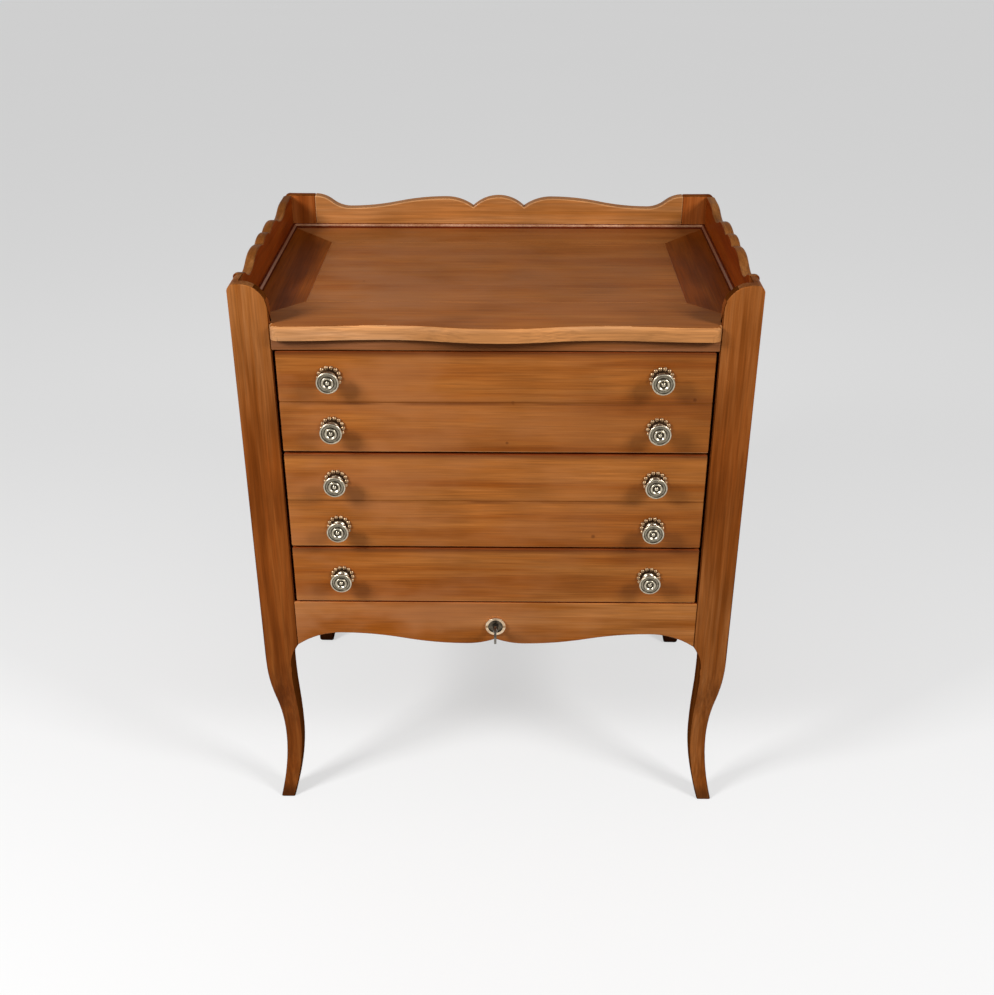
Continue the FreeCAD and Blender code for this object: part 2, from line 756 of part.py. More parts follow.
def drawer(name, base, pitch, rows, bolted):
    """One drawer box, its front scored to look like two, and the knobs along its rows."""
    low = base + size.drawer_gap / 2
    high = base + pitch - size.drawer_gap / 2
    half = half_open - size.drawer_gap
    side_top = base + pitch - size.box_top_drop
    floor_low = low + size.bottom_rise
    floor_high = floor_low + size.bottom_thickness
    knob_reach = half_open - size.knob_margin
    places = [(side * knob_reach, base + pitch * share) for share in rows for _, side in SIDES]
    front = board(f"{name}_drawer_front", "XZ", 0, size.front_thickness, box(-half, half, low, high))
    if len(rows) > 1:
        middle = base + pitch / 2
        cut(front, "YZ", -half - size.overrun, (half + size.overrun) * 2, [
            (-size.overrun, middle - size.score_width / 2),
            (0, middle - size.score_width / 2),
            (size.score_depth, middle),
            (0, middle + size.score_width / 2),
            (-size.overrun, middle + size.score_width / 2),
        ])
    for _, side in SIDES:
        cut(front, "XZ", size.front_thickness - size.lap_depth, size.lap_depth + size.overrun, box(
            side * box_inner, side * (half + size.overrun), low - size.overrun, high + size.overrun))
    cut(front, "XZ", size.front_thickness - size.groove_depth, size.groove_depth + size.overrun, box(
        -box_inner, box_inner, floor_low, floor_high))
    bore(front, -size.overrun, size.front_thickness + size.overrun * 2, [
        (*spot, size.screw_radius + size.bore_play) for spot in places])
    if bolted:
        wide = size.bolt_width / 2 + size.bolt_play
        cut(front, "XY", low - size.overrun, size.overrun + size.strike_depth, box(
            -wide, wide, size.bolt_inset - size.bolt_play,
            size.bolt_inset + size.bolt_thickness + size.bolt_play))
    reach = box_inner + size.groove_depth
    for side_name, side in SIDES:
        wall = board(f"{name}_drawer_{side_name}_side", "YZ", span(side, box_inner, box_outer), size.box_wall,
                     box(size.front_thickness - size.lap_depth, size.drawer_length, low, side_top))
        groove_start = span(side, box_inner - size.overrun, reach)
        cut(wall, "YZ", groove_start, size.groove_depth + size.overrun, box(
            -size.overrun, size.drawer_length + size.overrun, floor_low, floor_high))
    board(f"{name}_drawer_back", "XZ", size.drawer_length - size.box_wall, size.box_wall,
          box(-box_inner, box_inner, floor_high, side_top - size.box_back_drop))
    board(f"{name}_drawer_bottom", "XY", floor_low, size.bottom_thickness,
          box(-reach, reach, size.front_thickness - size.groove_depth, size.drawer_length))
    group(f"{name}_drawer_knobs", knob, places)
    group(f"{name}_drawer_knob_plates", plate, places)
    group(f"{name}_drawer_knob_screws", knob_screw, places)


def runners(name, base):
    """A pair of L-section runners: the drawer slides on the ledge, and the upstand guides it."""
    bearing = base + size.drawer_gap / 2 - size.slide_play
    for side_name, side in SIDES:
        board(f"{name}_{side_name}_runner", "XZ", size.post_depth, rear_start - size.post_depth, [
            (side * bearing_inner, bearing - size.runner_height),
            (side * panel_inner, bearing - size.runner_height),
            (side * panel_inner, bearing + size.guide_height),
            (side * guide_face, bearing + size.guide_height),
            (side * guide_face, bearing),
            (side * bearing_inner, bearing),
        ])
    return bearing


def turned_knob():
    """Mushroom knob: a spreading foot, a waist and a round head with a raised ring, bored for its screw."""
    body = doc.addObject("PartDesign::Body", "knob")
    seat = size.plate_thickness
    bore_radius = size.screw_radius + size.bore_play
    face = size.head_height + size.rim_height

    def out(height):
        return -(seat + height)

    turn(body, [
        (out(size.screw_grip), 0),
        (out(size.screw_grip), bore_radius),
        (-seat, bore_radius),
        (-seat, size.collar_radius),
        (out(size.neck_height), size.neck_radius),
        (out(size.head_height), size.head_radius),
        (out(face), size.head_radius),
        (out(face - size.well_depth), size.well_radius),
        (out(face + size.ring_height), size.ring_radius),
        (out(face + size.ring_height - size.dish_depth), 0),
    ])
    return body


def beaded_plate():
    """Round plate under a knob, with a ring of beads on its rim and a hole for the screw."""
    body = doc.addObject("PartDesign::Body", "knob_plate")
    hole = size.screw_radius + size.bore_play
    pad(body, "XZ", circles(body, "XZ", -size.plate_thickness, [(0, 0, size.plate_radius), (0, 0, hole)]),
        size.plate_thickness)
    bead = add(body, "XZ", -size.plate_thickness, size.plate_thickness, [
        (size.plate_bead_radius * across, size.plate_radius + size.plate_bead_radius * up)
        for across, up in PLATE_BEAD_SHARES])
    doc.recompute()
    ring = body.newObject("PartDesign::PolarPattern", "knob_plate_beads")
    ring.Originals = [bead]
    ring.Axis = (origin_part(body, "Y_Axis"), [""])
    ring.Angle = 360
    ring.Occurrences = PLATE_BEAD_COUNT
    body.Tip = ring
    return body


def screw(label, tip, seat, radius, head_radius, head_height):
    """A screw or pin along Y, from its tip to a head that lies behind or before its seat."""
    body = doc.addObject("PartDesign::Body", label)
    turn(body, [
        (tip, 0),
        (tip, radius),
        (seat, radius),
        (seat, head_radius),
        (seat + head_height, head_radius),
        (seat + head_height, 0),
    ])
    return body


def lock():
    """Lock case let into the apron, its bolt, the key and the screws of the flange."""
    half = size.lock_width / 2
    case = board("lock_case", "XZ", lock_front, size.lock_depth, box(-half, half, lock_bottom, apron_top))
    flange = size.flange_width / 2
    add(case, "XZ", size.apron_thickness, size.flange_thickness, box(-flange, flange, lock_bottom, apron_top))
    hollow = half - size.lock_wall
    cut(case, "XZ", lock_front + size.lock_wall, size.lock_depth - size.lock_wall, box(
        -hollow, hollow, lock_bottom + size.lock_wall, apron_top - size.lock_wall))
    wide = size.bolt_width / 2 + size.bolt_play
    cut(case, "XY", apron_top - size.lock_wall, size.lock_wall + size.overrun, box(
        -wide, wide, size.bolt_inset - size.bolt_play,
        size.bolt_inset + size.bolt_thickness + size.bolt_play))
    keyhole(case, lock_front, size.lock_wall)
    bore(case, size.apron_thickness - size.overrun, size.overrun + size.flange_thickness, [
        (*spot, size.lock_screw_radius + size.bore_play) for spot in lock_screw_places])
    head, tail = size.bolt_width / 2, size.tail_width / 2
    shoulder = bolt_top - size.bolt_height
    tail_end = key_level + size.key_radius + size.tail_gap
    board("lock_bolt", "XZ", size.bolt_inset, size.bolt_thickness, [
        (-head, bolt_top), (-head, shoulder), (-tail, shoulder), (-tail, tail_end),
        (tail, tail_end), (tail, shoulder), (head, shoulder), (head, bolt_top)])
    seat = size.apron_thickness + size.flange_thickness
    group("lock_screws", screw("lock_screw", seat - size.lock_screw_length, seat, size.lock_screw_radius,
                               size.lock_screw_head_radius, size.lock_screw_head_height), lock_screw_places)
    turned_key()


def turned_key():
    """Key along Y: a round shank, a flat bit that lifts the bolt, and a ring bow standing upright."""
    body = new_body("key", 0, key_level)
    nodes.append(body)
    shank_front = size.bow_radius + size.bow_opening - size.key_reach
    shank_front = shank_front + (size.bow_radius - size.bow_opening) / 2
    tip = size.apron_thickness - size.key_tip_gap
    pad(body, "XZ", circles(body, "XZ", shank_front, [(0, 0, size.key_radius)]), tip - shank_front)
    half = size.bit_thickness / 2
    add(body, "XZ", tip - size.bit_width, size.bit_width, box(-half, half, -size.bit_length, 0))
    middle = size.bow_radius - size.key_reach
    bow = circles(body, "YZ", -size.bow_thickness / 2, [
        (middle, 0, size.bow_radius), (middle, 0, size.bow_opening)])
    pad(body, "YZ", bow, size.bow_thickness)


def escutcheon():
    """Round escutcheon with a raised rim, cut for the key and held by two pins."""
    body = new_body("escutcheon", 0, key_level)
    nodes.append(body)
    hole = size.key_radius + size.key_play
    turn(body, [
        (0, hole),
        (0, size.escutcheon_radius),
        (-size.escutcheon_height, size.escutcheon_radius),
        (-size.escutcheon_height, size.escutcheon_opening),
        (-size.escutcheon_web, size.escutcheon_opening),
        (-size.escutcheon_web, hole),
    ])
    half = size.bit_thickness / 2 + size.key_play
    cut(body, "XZ", -size.escutcheon_web - size.overrun, size.escutcheon_web + size.overrun * 2, box(
        -half, half, -size.bit_length, 0))
    bore(body, -size.escutcheon_height - size.overrun, size.escutcheon_height + size.overrun * 2, [
        (across, 0, size.pin_radius + size.bore_play) for across in pin_places])
    pin = screw("escutcheon_pin", size.pin_length - size.escutcheon_height, -size.escutcheon_height,
                size.pin_radius, size.pin_head_radius, -size.pin_head_height)
    group("escutcheon_pins", pin, [(across, key_level) for across in pin_places])


# Tenons and fastenings that two pieces share
apron_tenon = (arch_top, apron_top - size.tenon_shoulder)
rail_tenon = (size.tenon_inset, size.post_depth - size.tenon_inset * 2)
rail_tenon_start = drawers_top + (size.top_rail_height - size.tenon_thickness) / 2
rim_middle = (size.escutcheon_radius + size.escutcheon_opening) / 2
pin_places = (-rim_middle, rim_middle)
lock_screw_reach = size.flange_width / 2 - size.flange_margin
lock_screw_places = [(side * lock_screw_reach, (lock_bottom + apron_top) / 2) for _, side in SIDES]

for name, side in SIDES:
    front_post(name, side)
    rear_post(name, side)
    side_frame(name, side)
back_frame()
top_frame()
front_apron()

knob = turned_knob()
plate = beaded_plate()
knob_screw = screw("knob_screw", size.bore_play - size.plate_thickness - size.screw_grip,
                   size.front_thickness, size.screw_radius, size.screw_head_radius, size.screw_head_height)
low_base = apron_top
middle_base = low_base + size.low_drawer_pitch
top_base = middle_base + size.tall_drawer_pitch
drawer("top", top_base, size.tall_drawer_pitch, TOP_ROWS_SHARES, False)
drawer("middle", middle_base, size.tall_drawer_pitch, MIDDLE_ROWS_SHARES, False)
drawer("bottom", low_base, size.low_drawer_pitch, LOW_ROW_SHARES, True)

stop = doc.addObject("Part::Box", "stop")
bind(stop, "Length", size.bearing_width)
bind(stop, "Width", size.stop_length)
bind(stop, "Height", size.stop_height)
stop_places = []
for name, base in (("top", top_base), ("middle", middle_base), ("bottom", low_base)):
    bearing = runners(name, base)
    stop_places += [(-guide_face, bearing), (bearing_inner, bearing)]
group("drawer_stops", stop, stop_places)
for copy in doc.getObject("drawer_stops").Links:
    bind(copy, "Placement.Base.y", front_plane + size.drawer_length + size.slide_play)

lock()
escutcheon()
doc.recompute()

for item in doc.Objects:
    if "Invalid" in item.State or "Error" in item.State:
        raise RuntimeError(f"{item.Label} failed: {item.State}")
for node in nodes:
    if node.Shape.isNull() or not node.Shape.isValid():
        raise RuntimeError(f"{node.Label} has no valid shape")
for node in nodes:
    node.Shape.exportStep(f"parts/{node.Label}.step")
print(f"{len(nodes)} nodes, {sum(len(node.Shape.Solids) for node in nodes)} solids")
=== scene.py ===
"""Looks of a small chest of drawers in waxed cherry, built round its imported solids."""

import json
import math

import bmesh
import bpy
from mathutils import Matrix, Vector


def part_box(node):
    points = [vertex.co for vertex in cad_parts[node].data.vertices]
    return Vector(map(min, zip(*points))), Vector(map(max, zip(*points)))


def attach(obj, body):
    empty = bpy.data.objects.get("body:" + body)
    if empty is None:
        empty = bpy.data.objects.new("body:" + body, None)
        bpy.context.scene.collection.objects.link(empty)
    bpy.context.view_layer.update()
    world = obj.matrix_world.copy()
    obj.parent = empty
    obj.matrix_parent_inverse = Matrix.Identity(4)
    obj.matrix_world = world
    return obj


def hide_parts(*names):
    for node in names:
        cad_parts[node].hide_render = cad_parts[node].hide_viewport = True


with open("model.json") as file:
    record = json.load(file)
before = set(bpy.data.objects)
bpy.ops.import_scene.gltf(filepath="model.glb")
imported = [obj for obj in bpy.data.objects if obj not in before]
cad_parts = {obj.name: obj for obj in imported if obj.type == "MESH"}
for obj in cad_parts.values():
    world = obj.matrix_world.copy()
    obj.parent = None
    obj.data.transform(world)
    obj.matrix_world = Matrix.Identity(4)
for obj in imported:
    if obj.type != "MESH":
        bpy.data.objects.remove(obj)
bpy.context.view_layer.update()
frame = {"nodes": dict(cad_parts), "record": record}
record = frame["record"]
SLOT_OF = {part["node"]: part["material_slot"] for part in record["subparts"]}
BODY_OF = {name: body for body, names in record["behaviour"]["bodies"].items() for name in names}
MM = 0.001

# Places on the chest in metres, read from its solids where these have them.
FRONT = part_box("top_drawer_front")[0].y
APRON_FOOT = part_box("front_apron")[0].z
KEY_LEVEL = sum(corner.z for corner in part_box("escutcheon")) / 2
OUTER_FACE = 0.268  # 2 mm inside the outer faces of posts and galleries
LEG_TOP = 0.18
CROWN_FOOT = 0.6
GALLERY_FOOT = 0.63
RIM_INSIDE = 8.6 * MM  # radius at which the escutcheon's rim begins


# Colours and nodes

def linear(code):
    """Turns an sRGB hex colour into the linear colour that a shader socket takes."""
    parts = [int(code[place:place + 2], 16) / 255 for place in (1, 3, 5)]
    return (*[part / 12.92 if part <= 0.04045 else ((part + 0.055) / 1.055) ** 2.4 for part in parts], 1)


def node(tree, kind, sockets=None, **settings):
    """Adds a shader node, sets its properties and sockets, and links each socket that is given an output."""
    made = tree.nodes.new(kind)
    for name, value in settings.items():
        setattr(made, name, value)
    for socket, value in (sockets or {}).items():
        if isinstance(value, bpy.types.NodeSocket):
            tree.links.new(value, made.inputs[socket])
        else:
            made.inputs[socket].default_value = value
    return made


def new_material(name):
    """An empty material, its tree, and the shader that the surface shows."""
    made = bpy.data.materials.new(name)
    made.use_nodes = True
    tree = made.node_tree
    shader = next(item for item in tree.nodes if item.type == "BSDF_PRINCIPLED")
    return made, tree, shader


# Woods

AXES = {"x": 0, "y": 1, "z": 2}
# Widths of the figure across the grain, and how many times as long it is along the grain.
BAND_MM = 26
STREAK_MM = 6
FIGURE_LENGTH = 18
# Fibres are 0.1 mm wide in the wood and are drawn coarser, so that they show.
FIBRE_MM = 1.8
FIBRE_LENGTH = 40
# Old polish lies in clouds about 90 mm wide. Its milky patches are 60 mm high and twice as long.
CLOUDS_IN_A_METRE = 11
MILK_MM = 60
MILK_LENGTH = 2
# Painted light: how much of its milk and paleness a board has at its left and right ends, lighter to the left
# as the light falls off to the right.
LIT_LEFT = 1.4
LIT_RIGHT = 0.15
# Depth of the painted shade under an upper edge, and to each side of a scored line.
EDGE_SHADE_MM = 7
LINE_SHADE_MM = 4
# Painted shade on the feet, darkest at the floor: how far up it goes in mm, and how thick it is at the floor.
FRONT_FEET = (26, 0.6)
REAR_FEET = (75, 0.95)
# Levels on the front posts between which their tone changes, in metres.
POST_LOW = 0.28
POST_MIDDLE = (0.44, 0.5)
POST_HIGH = 0.66
KNOT = "#421905"
# Painted shade under the upper edges and round the scored lines.
EDGE_AND_LINE_SHADE = "#4a1a06"
# Painted shade on the feet.
FOOT_SHADE = "#1e0d05"
# Roughness where the surface is most and least rubbed.
WAXED = (0.36, 0.5)
RUBBED = (0.26, 0.34)
GRIMY = (0.6, 0.7)
BARE = (0.6, 0.75)
DULL = (0.7, 0.8)


def grain_space(tree, grain, length, shift):
    """Object coordinates in which a pattern comes out length times as long along the grain as across
    it. The shift takes each board from another part of the pattern."""
    place = node(tree, "ShaderNodeTexCoord").outputs["Object"]
    squeeze = [length] * 3
    squeeze[AXES[grain]] = 1
    return node(tree, "ShaderNodeMapping", {
        "Vector": place, "Location": (shift, shift * 1.7, shift * 2.3), "Scale": squeeze}).outputs["Vector"]


def post_fade(tree, axes):
    """How far the front posts take their darker tones: the left post towards the floor, and the right
    one most of all half way up. Levels are in metres."""
    left = node(tree, "ShaderNodeMapRange", {
        "Value": axes["Z"], "From Min": 0.44, "From Max": 0.66, "To Min": 1.0, "To Max": 0.0},
        interpolation_type="SMOOTHSTEP").outputs["Result"]
    below = node(tree, "ShaderNodeMapRange", {
        "Value": axes["Z"], "From Min": POST_LOW, "From Max": POST_MIDDLE[0], "To Min": 0.4,
        "To Max": 0.93}).outputs["Result"]
    above = node(tree, "ShaderNodeMapRange", {
        "Value": axes["Z"], "From Min": POST_MIDDLE[1], "From Max": POST_HIGH, "To Min": 0.93,
        "To Max": 0.5}).outputs["Result"]
    right = node(tree, "ShaderNodeMath", {0: below, 1: above}, operation="MINIMUM").outputs[0]
    on_right = node(tree, "ShaderNodeMath", {0: axes["X"], 1: 0.0}, operation="GREATER_THAN").outputs[0]
    return node(tree, "ShaderNodeMix", {"Factor": on_right, 2: left, 3: right}).outputs[0]


def milky(tree, colour, haze, grain, shift, axes):
    """Old polish gone milky in patches, with painted light: the left side is paler and lighter than the
    right.
    """
    patches = node(tree, "ShaderNodeTexNoise", {
        "Vector": grain_space(tree, grain, MILK_LENGTH, shift + 1.9), "Scale": 1000 / (MILK_MM * MILK_LENGTH),
        "Detail": 3, "Roughness": 0.55}).outputs["Fac"]
    milk = node(tree, "ShaderNodeMapRange", {
        "Value": patches, "From Min": 0.38, "From Max": 0.66, "To Max": 0.5},
        interpolation_type="SMOOTHSTEP").outputs["Result"]
    # Painted light: more milk and a lighter colour to the left, less to the right.
    light_share = node(tree, "ShaderNodeMapRange", {
        "Value": axes["X"], "From Min": -0.24, "From Max": 0.24, "To Min": LIT_LEFT,
        "To Max": LIT_RIGHT}).outputs["Result"]
    milk = node(tree, "ShaderNodeMath", {0: milk, 1: light_share}, operation="MULTIPLY").outputs[0]
    colour = node(tree, "ShaderNodeMix", {
        "Factor": milk, 6: colour, 7: linear(haze)}, data_type="RGBA").outputs[2]
    painted_light = node(tree, "ShaderNodeMapRange", {
        "Value": light_share, "From Min": LIT_RIGHT, "From Max": LIT_LEFT, "To Min": 0.93,
        "To Max": 1.08}).outputs["Result"]
    return node(tree, "ShaderNodeVectorMath", {0: colour, "Scale": painted_light}, operation="SCALE").outputs[0]


def stains_and_shade(tree, place, axes, clouds, knots, top_edge, score, feet):
    """What lies on a wood, as pairs of a colour and how thick it lies: pin knots, and painted shade under an
    upper edge, in patches round a scored line, and on the feet towards the floor."""
    laid = []
    for spot, radius in knots:
        away = node(tree, "ShaderNodeVectorMath", {0: place, 1: spot}, operation="DISTANCE").outputs["Value"]
        laid.append((KNOT, node(tree, "ShaderNodeMapRange", {
            "Value": away, "From Min": radius * 0.3 * MM, "From Max": radius * 1.3 * MM, "To Min": 0.5,
            "To Max": 0.0}, interpolation_type="SMOOTHSTEP").outputs["Result"]))
    if top_edge:
        laid.append((EDGE_AND_LINE_SHADE, node(tree, "ShaderNodeMapRange", {
            "Value": axes["Z"], "From Min": top_edge - EDGE_SHADE_MM * MM, "From Max": top_edge, "To Min": 0.0,
            "To Max": 0.75}).outputs["Result"]))
    if score:
        away = node(tree, "ShaderNodeMath", {0: axes["Z"], 1: score}, operation="SUBTRACT").outputs[0]
        away = node(tree, "ShaderNodeMath", {0: away}, operation="ABSOLUTE").outputs[0]
        thick = node(tree, "ShaderNodeMapRange", {
            "Value": away, "From Min": 0.5 * MM, "From Max": LINE_SHADE_MM * MM, "To Min": 0.6, "To Max": 0.0},
            interpolation_type="SMOOTHSTEP").outputs["Result"]
        patches = node(tree, "ShaderNodeMapRange", {
            "Value": clouds, "From Min": 0.4, "From Max": 0.62, "To Min": 0.15}).outputs["Result"]
        laid.append((EDGE_AND_LINE_SHADE, node(tree, "ShaderNodeMath", {
            0: thick, 1: patches}, operation="MULTIPLY").outputs[0]))
    if feet:
        up, thick = feet
        laid.append((FOOT_SHADE, node(tree, "ShaderNodeMapRange", {
            "Value": axes["Z"], "From Min": 4 * MM, "From Max": up * MM, "To Min": thick, "To Max": 0.0},
            interpolation_type="SMOOTHSTEP").outputs["Result"]))
    return laid


def planed_wood(name, grain, tones, rough=WAXED, gloss=0.12, shift=0.0, band_mm=BAND_MM, streak=0.8,
                low_tones=None, haze=None, knots=(), top_edge=None, score=None, feet=None):
    """Planed and stained solid wood. Growth bands run along the grain as broad soft stripes, finer
    streaks and fibres lie in them, cut ends soak up stain and go dark, and wax leaves a low sheen that
    clouds over with age. The three tones are those of dark bands, pale bands and streaks. low_tones are
    the darker tones of a front post, haze is the milky tone of old polish, laid on with painted light that is
    paler to the left, and the last four say where the wood has knots and painted shade: top_edge and score
    are levels in metres."""
    made, tree, shader = new_material(name)
    place = node(tree, "ShaderNodeTexCoord").outputs["Object"]
    axes = node(tree, "ShaderNodeSeparateXYZ", {"Vector": place}).outputs
    figure = grain_space(tree, grain, FIGURE_LENGTH, shift)
    bands = node(tree, "ShaderNodeTexNoise", {
        "Vector": figure, "Scale": 1000 / (band_mm * FIGURE_LENGTH), "Detail": 2, "Roughness": 0.45,
        "Distortion": 0.6}).outputs["Fac"]
    streaks = node(tree, "ShaderNodeTexNoise", {
        "Vector": figure, "Scale": 1000 / (STREAK_MM * FIGURE_LENGTH), "Detail": 3, "Roughness": 0.6,
        "Distortion": 0.3}).outputs["Fac"]
    fibres = node(tree, "ShaderNodeTexNoise", {
        "Vector": grain_space(tree, grain, FIBRE_LENGTH, shift), "Scale": 1000 / (FIBRE_MM * FIBRE_LENGTH),
        "Detail": 2, "Roughness": 0.6}).outputs["Fac"]
    clouds = node(tree, "ShaderNodeTexNoise", {
        "Vector": place, "Scale": CLOUDS_IN_A_METRE, "Detail": 3, "Roughness": 0.5}).outputs["Fac"]

    # Bands lead from the dark tone to the middle one, and the streaks in them to the light one.
    to_middle = node(tree, "ShaderNodeMapRange", {
        "Value": bands, "From Min": 0.3, "From Max": 0.62}, interpolation_type="SMOOTHSTEP").outputs["Result"]
    to_light = node(tree, "ShaderNodeMapRange", {
        "Value": streaks, "From Min": 0.42, "From Max": 0.8, "To Max": streak}).outputs["Result"]
    to_light = node(tree, "ShaderNodeMath", {0: to_light, 1: to_middle}, operation="MULTIPLY").outputs[0]
    stained = []
    for dark, middle, light in filter(None, (tones, low_tones)):
        mix = node(tree, "ShaderNodeMix", {
            "Factor": to_middle, 6: linear(dark), 7: linear(middle)}, data_type="RGBA").outputs[2]
        stained.append(node(tree, "ShaderNodeMix", {
            "Factor": to_light, 6: mix, 7: linear(light)}, data_type="RGBA").outputs[2])
    colour = stained[0]
    if low_tones:
        colour = node(tree, "ShaderNodeMix", {
            "Factor": post_fade(tree, axes), 6: stained[0], 7: stained[1]}, data_type="RGBA").outputs[2]

    # Fibres, clouds of polish and cut ends darken or lighten the stain.
    fine = node(tree, "ShaderNodeMapRange", {
        "Value": fibres, "From Min": 0.32, "From Max": 0.68, "To Min": 0.8, "To Max": 1.16}).outputs["Result"]
    cloud = node(tree, "ShaderNodeMapRange", {
        "Value": clouds, "From Min": 0.3, "From Max": 0.7, "To Min": 0.85, "To Max": 1.13}).outputs["Result"]
    shade = node(tree, "ShaderNodeMath", {0: fine, 1: cloud}, operation="MULTIPLY").outputs[0]
    facing = node(tree, "ShaderNodeSeparateXYZ", {
        "Vector": node(tree, "ShaderNodeNewGeometry").outputs["Normal"]}).outputs[AXES[grain]]
    facing = node(tree, "ShaderNodeMath", {0: facing}, operation="ABSOLUTE").outputs[0]
    ends = node(tree, "ShaderNodeMapRange", {
        "Value": facing, "From Min": 0.5, "From Max": 0.95, "To Min": 1.0, "To Max": 0.6}).outputs["Result"]
    shade = node(tree, "ShaderNodeMath", {0: shade, 1: ends}, operation="MULTIPLY").outputs[0]
    colour = node(tree, "ShaderNodeVectorMath", {0: colour, "Scale": shade}, operation="SCALE").outputs[0]
    if haze:
        colour = milky(tree, colour, haze, grain, shift, axes)
    # Knots, and painted shade under edges, round scored lines and on the feet.
    for stain, thick in stains_and_shade(tree, place, axes, clouds, knots, top_edge, score, feet):
        colour = node(tree, "ShaderNodeMix", {
            "Factor": thick, 6: colour, 7: linear(stain)}, data_type="RGBA").outputs[2]
    tree.links.new(colour, shader.inputs["Base Color"])

    worn = node(tree, "ShaderNodeMapRange", {
        "Value": clouds, "From Min": 0.3, "From Max": 0.7, "To Min": rough[0],
        "To Max": rough[1]}).outputs["Result"]
    tree.links.new(worn, shader.inputs["Roughness"])
    relief = node(tree, "ShaderNodeMath", {0: fibres, 1: streaks}, operation="ADD").outputs[0]
    bump = node(tree, "ShaderNodeBump", {
        "Height": relief, "Strength": 0.1, "Distance": 0.4 * MM}).outputs["Normal"]
    tree.links.new(bump, shader.inputs["Normal"])
    shader.inputs["Specular IOR Level"].default_value = gloss
    return made


def board(name, grain, tones, rough=WAXED, **figure):
    """A planed wood, and the paler and smoother wood of its arrises: partly rubbed wear, partly a painted
    highlight.
    """
    flat = planed_wood(name, grain, tones, rough, streak=0.6, **figure)
    arris = planed_wood(f"{name}_arris", grain, (tones[1], tones[2], tones[2]), RUBBED, gloss=0.4,
                        shift=figure["shift"])
    return flat, arris


# Cherry posts, sawn and spokeshaved, with wax long gone dry: narrow upright bands, darker lower down,
# hardly a shine. Their outer rounds take a darker copy of the wood: painted shade.
POST_WOOD = planed_wood("waxed_cherry_posts_z", "z", ("#854818", "#995c2a", "#ac7142"), gloss=0.04,
                        band_mm=14, streak=1.0, low_tones=("#70360c", "#854416", "#985724"), feet=FRONT_FEET)
# Painted shade on the outer rounds of the front posts.
POST_ROUND_SHADE_WOOD = planed_wood("waxed_cherry_posts_z_round_painted_shade", "z", ("#4c1f05", "#5c2a09", "#6c3613"), GRIMY,
                             gloss=0.03, feet=FRONT_FEET)
# The sides of the posts that face the drawers and the back, and the inner sides of the legs: the same cherry,
# stained but never waxed, so quite matt, and painted darker for the shade these faces lie in.
SHADED_INNER_WOOD = planed_wood("cherry_inner_faces_painted_shade", "z", ("#6e3412", "#7e411b", "#8e4f26"), DULL, gloss=0.0,
                        shift=9.6, feet=FRONT_FEET)
SHADED_LEG_SIDE_WOOD = planed_wood("cherry_leg_sides_painted_shade", "z", ("#4a2208", "#5a2c0c", "#6a3a14"), DULL, gloss=0.0,
                            shift=9.9, feet=FRONT_FEET)
# Rear posts of planed cherry, redder and without shine, painted near black with shade towards the feet.
REAR_WOOD = planed_wood("waxed_cherry_rear_posts", "z", ("#803e15", "#954e1f", "#aa6634"), gloss=0.0,
                        shift=4.1, feet=REAR_FEET)
# Side panels and side aprons of planed and waxed cherry: calm red-brown bands with a low sheen.
SIDE_TONES = ("#7c3d0f", "#8f4e1a", "#a1622c")
SIDE_WOOD = board("waxed_cherry_sides_z", "z", SIDE_TONES, shift=0.37)
SIDE_APRON_WOOD = board("waxed_cherry_sides_y", "y", SIDE_TONES, shift=0.74)
# Back panel and rear rail of cherry left bare from the plane: greyer and matt.
BACK_TONES = ("#7c4a26", "#905c33", "#a67345")
BACK_WOOD = board("bare_cherry_back_z", "z", BACK_TONES, BARE, shift=1.11)
REAR_RAIL_WOOD = board("bare_cherry_back_x", "x", BACK_TONES, BARE, shift=1.48)
# The back gallery, sawn cherry that has faded in the light: pale orange bands.
BACK_GALLERY_WOOD = board("waxed_cherry_gallery_x", "x", ("#91551e", "#aa6e3b", "#be8756"), shift=1.85)
# The side galleries, waxed cherry turned from the light: deep red-brown inside as painted shade, and a paler
# copy along the top as painted light.
SHADED_SIDE_GALLERY_WOOD = planed_wood("waxed_cherry_side_gallery_painted_shade", "y", ("#692806", "#793309", "#864111"),
                                gloss=0.05, shift=7.4)
LIT_GALLERY_TOP_WOOD = planed_wood("waxed_cherry_gallery_top_painted_light", "y", ("#6a3a12", "#865227", "#a06c3c"), gloss=0.05,
                               shift=2.8)
# The top, planed cherry with old polish gone milky: soft, even and a little pale, with two pin knots.
TOP_KNOTS = [((-0.1478, -0.0297, 0.6265), 1.6), ((-0.0227, 0.1454, 0.6265), 1.5)]
TOP_WOOD = board("waxed_cherry_top_x", "x", ("#874a1d", "#935626", "#9d6330"), shift=2.22, haze="#97623d",
                 knots=TOP_KNOTS)
# The shaped front edge of the top: the palest wood, silky, partly where hands have rubbed the stain away and
# partly painted light on the faces that look forward.
EDGE_WOOD = planed_wood("waxed_cherry_top_edge", "x", ("#b87c47", "#c9905f", "#daa57a"), (0.55, 0.65),
                        shift=5.2)
# Side borders of planed and waxed walnut: a dark frame to the top.
BORDER_WOOD = board("waxed_walnut_borders_y", "y", ("#703307", "#7d3c0a", "#8c4a12"), shift=2.59)
